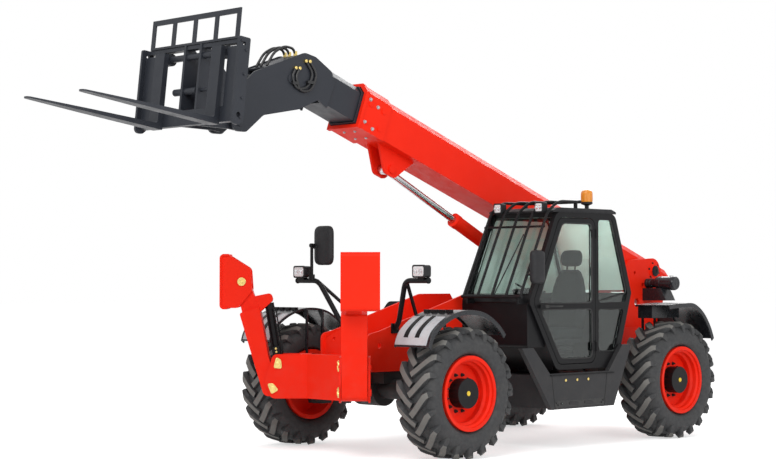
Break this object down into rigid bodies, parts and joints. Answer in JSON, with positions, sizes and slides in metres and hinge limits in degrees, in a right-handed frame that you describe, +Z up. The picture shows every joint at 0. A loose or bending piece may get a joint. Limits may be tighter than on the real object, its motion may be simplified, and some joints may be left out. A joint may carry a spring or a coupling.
{
  "type": "telehandler",
  "caption": "Fixed-frame telehandler with a telescopic boom, pallet forks, a side cab and two raised front stabiliser legs, in red, black and dark grey.",
  "frame": {"origin": "on the ground below the middle of the machine's bounding box", "axes": "+X forward along the boom, +Y to the cab's side, +Z up"},
  "size_m": [7.9023, 2.48, 3.8138],
  "materials": {
    "red_paint": "gloss",
    "dark_grey_paint": "satin",
    "black_paint": "satin",
    "black_plastic": "matte",
    "cast_metal": "matte",
    "rod_chrome": "polished",
    "tyre_rubber": "matte",
    "cab_panes": "clear",
    "seat_cloth": "woven",
    "amber_lens": "clear"
  },
  "bodies": {
    "chassis": {"chassis": "red_paint", "boom_tower": "red_paint", "counterweight": "black_paint", "tow_hitch": "black_paint", "axle_front": "cast_metal", "axle_rear": "cast_metal", "stabiliser_frame": "red_paint", "cab_frame": "black_paint", "cab_roof": "black_plastic", "cab_glass": "cab_panes", "window_guard": "black_paint", "console": "black_plastic", "seat": "seat_cloth", "side_box": "black_paint", "engine_block": "cast_metal", "engine_tray": "black_paint", "lamps": "black_plastic", "lamp_hoops": "black_paint", "mirror_right": "black_plastic", "mirror_left": "black_plastic", "beacon": "amber_lens", "air_cleaner": "black_plastic"},
    "door": {"door_frame": "black_paint", "door_glass": "cab_panes"},
    "hood": {"engine_hood": "black_paint"},
    "boom": {"boom_outer": "red_paint"},
    "boom_second": {"boom_middle": "dark_grey_paint"},
    "boom_third": {"boom_inner": "dark_grey_paint", "boom_head": "dark_grey_paint"},
    "fork_carriage": {"carriage": "dark_grey_paint", "forks": "dark_grey_paint", "backrest": "dark_grey_paint"},
    "lift_barrel": {"lift_barrel": "red_paint"},
    "lift_rod": {"lift_rod": "rod_chrome"},
    "tilt_barrel": {"tilt_barrel": "black_paint"},
    "tilt_rod": {"tilt_rod": "rod_chrome"},
    "knuckle_front_left": {"knuckle_front_left": "black_paint"},
    "wheel_front_left": {"rim_front_left": "red_paint", "tyre_front_left": "tyre_rubber"},
    "knuckle_front_right": {"knuckle_front_right": "black_paint"},
    "wheel_front_right": {"rim_front_right": "red_paint", "tyre_front_right": "tyre_rubber"},
    "knuckle_rear_left": {"knuckle_rear_left": "black_paint"},
    "wheel_rear_left": {"rim_rear_left": "red_paint", "tyre_rear_left": "tyre_rubber"},
    "knuckle_rear_right": {"knuckle_rear_right": "black_paint"},
    "wheel_rear_right": {"rim_rear_right": "red_paint", "tyre_rear_right": "tyre_rubber"},
    "leg_left": {"stabiliser_leg_left": "red_paint"},
    "pad_left": {"stabiliser_pad_left": "red_paint"},
    "leg_barrel_left": {"stabiliser_barrel_left": "black_paint"},
    "leg_rod_left": {"stabiliser_rod_left": "rod_chrome"},
    "leg_right": {"stabiliser_leg_right": "red_paint"},
    "pad_right": {"stabiliser_pad_right": "red_paint"},
    "leg_barrel_right": {"stabiliser_barrel_right": "black_paint"},
    "leg_rod_right": {"stabiliser_rod_right": "rod_chrome"}
  },
  "joints": [
    {"name": "boom_lift", "type": "hinge", "parent": "chassis", "child": "boom", "pos_m": [-3.52, 0, 1.67], "axis": [0, -1, 0], "range_deg": [-23, 42]},
    {"name": "boom_extend", "type": "slide", "parent": "boom", "child": "boom_second", "axis": [0.9397, 0, 0.342], "range_m": [0, 2.8]},
    {"name": "boom_extend_third", "type": "slide", "parent": "boom_second", "child": "boom_third", "axis": [0.9397, 0, 0.342], "range_m": [0, 2.8]},
    {"name": "carriage_tilt", "type": "hinge", "parent": "boom_third", "child": "fork_carriage", "pos_m": [2.18988, 0, 2.91042], "axis": [0, -1, 0], "range_deg": [-60, 12]},
    {"name": "lift_barrel_swing", "type": "hinge", "parent": "chassis", "child": "lift_barrel", "pos_m": [-3.3, 0, 0.87], "axis": [0, -1, 0], "range_deg": [-25, 42]},
    {"name": "lift_rod_slide", "type": "slide", "parent": "lift_barrel", "child": "lift_rod", "axis": [0.9003, 0, 0.4352], "range_m": [-0.35, 0.6]},
    {"name": "tilt_barrel_swing", "type": "hinge", "parent": "boom_third", "child": "tilt_barrel", "pos_m": [1.59988, 0, 3.33042], "axis": [0, -1, 0], "range_deg": [-20, 6]},
    {"name": "tilt_rod_slide", "type": "slide", "parent": "tilt_barrel", "child": "tilt_rod", "axis": [0.9969, 0, -0.0791], "range_m": [-0.1, 0.36]},
    {"name": "cab_door", "type": "hinge", "parent": "chassis", "child": "door", "pos_m": [-1.387, 1.1623, 1.4], "axis": [0, 0, 1], "range_deg": [0, 100]},
    {"name": "engine_hood", "type": "hinge", "parent": "chassis", "child": "hood", "pos_m": [-1.32, -0.346, 1.36], "axis": [-1, 0, 0], "range_deg": [0, 70]},
    {"name": "steer_front_left", "type": "hinge", "parent": "chassis", "child": "knuckle_front_left", "pos_m": [0.43, 0.8, 0.58], "axis": [0, 0, 1], "range_deg": [-35, 35]},
    {"name": "wheel_front_left", "type": "hinge", "parent": "knuckle_front_left", "child": "wheel_front_left", "pos_m": [0.43, 1.03, 0.58], "axis": [0, 1, 0], "continuous": true},
    {"name": "steer_front_right", "type": "hinge", "parent": "chassis", "child": "knuckle_front_right", "pos_m": [0.43, -0.8, 0.58], "axis": [0, 0, 1], "range_deg": [-35, 35]},
    {"name": "wheel_front_right", "type": "hinge", "parent": "knuckle_front_right", "child": "wheel_front_right", "pos_m": [0.43, -1.03, 0.58], "axis": [0, 1, 0], "continuous": true},
    {"name": "steer_rear_left", "type": "hinge", "parent": "chassis", "child": "knuckle_rear_left", "pos_m": [-2.67, 0.8, 0.58], "axis": [0, 0, 1], "range_deg": [-35, 35]},
    {"name": "wheel_rear_left", "type": "hinge", "parent": "knuckle_rear_left", "child": "wheel_rear_left", "pos_m": [-2.67, 1.03, 0.58], "axis": [0, 1, 0], "continuous": true},
    {"name": "steer_rear_right", "type": "hinge", "parent": "chassis", "child": "knuckle_rear_right", "pos_m": [-2.67, -0.8, 0.58], "axis": [0, 0, 1], "range_deg": [-35, 35]},
    {"name": "wheel_rear_right", "type": "hinge", "parent": "knuckle_rear_right", "child": "wheel_rear_right", "pos_m": [-2.67, -1.03, 0.58], "axis": [0, 1, 0], "continuous": true},
    {"name": "leg_left", "type": "hinge", "parent": "chassis", "child": "leg_left", "pos_m": [1.18113, 0.53513, 0.591], "axis": [-0.7071, 0.7071, 0], "range_deg": [0, 97]},
    {"name": "pad_left", "type": "hinge", "parent": "leg_left", "child": "pad_left", "pos_m": [1.38496, 0.73896, 1.55795], "axis": [-0.7071, 0.7071, 0], "range_deg": [-12, 12]},
    {"name": "leg_barrel_left", "type": "hinge", "parent": "chassis", "child": "leg_barrel_left", "pos_m": [1.14861, 0.50261, 0.81], "axis": [-0.7071, 0.7071, 0], "range_deg": [0, 110]},
    {"name": "leg_rod_left", "type": "slide", "parent": "leg_barrel_left", "child": "leg_rod_left", "axis": [0.1131, 0.1131, 0.9871], "range_m": [0, 0.33]},
    {"name": "leg_right", "type": "hinge", "parent": "chassis", "child": "leg_right", "pos_m": [1.18113, -0.53513, 0.591], "axis": [0.7071, 0.7071, 0], "range_deg": [0, 97]},
    {"name": "pad_right", "type": "hinge", "parent": "leg_right", "child": "pad_right", "pos_m": [1.38496, -0.73896, 1.55795], "axis": [0.7071, 0.7071, 0], "range_deg": [-12, 12]},
    {"name": "leg_barrel_right", "type": "hinge", "parent": "chassis", "child": "leg_barrel_right", "pos_m": [1.14861, -0.50261, 0.81], "axis": [0.7071, 0.7071, 0], "range_deg": [0, 110]},
    {"name": "leg_rod_right", "type": "slide", "parent": "leg_barrel_right", "child": "leg_rod_right", "axis": [0.1131, -0.1131, 0.9871], "range_m": [0, 0.33]}
  ],
  "couplings": [
    {"joint": "boom_extend_third", "follows": "boom_extend", "ratio": 1},
    {"joint": "lift_barrel_swing", "follows": "boom_lift", "ratio": 0.936},
    {"joint": "lift_rod_slide", "follows": "boom_lift", "m_per_rad": 0.748},
    {"joint": "tilt_barrel_swing", "follows": "carriage_tilt", "ratio": 0.262},
    {"joint": "tilt_rod_slide", "follows": "carriage_tilt", "m_per_rad": -0.302},
    {"joint": "steer_front_right", "follows": "steer_front_left", "ratio": 1},
    {"joint": "steer_rear_right", "follows": "steer_rear_left", "ratio": 1},
    {"joint": "leg_barrel_left", "follows": "leg_left", "ratio": 1.103},
    {"joint": "leg_rod_left", "follows": "leg_left", "m_per_rad": 0.181},
    {"joint": "leg_barrel_right", "follows": "leg_right", "ratio": 1.103},
    {"joint": "leg_rod_right", "follows": "leg_right", "m_per_rad": 0.181}
  ]
}
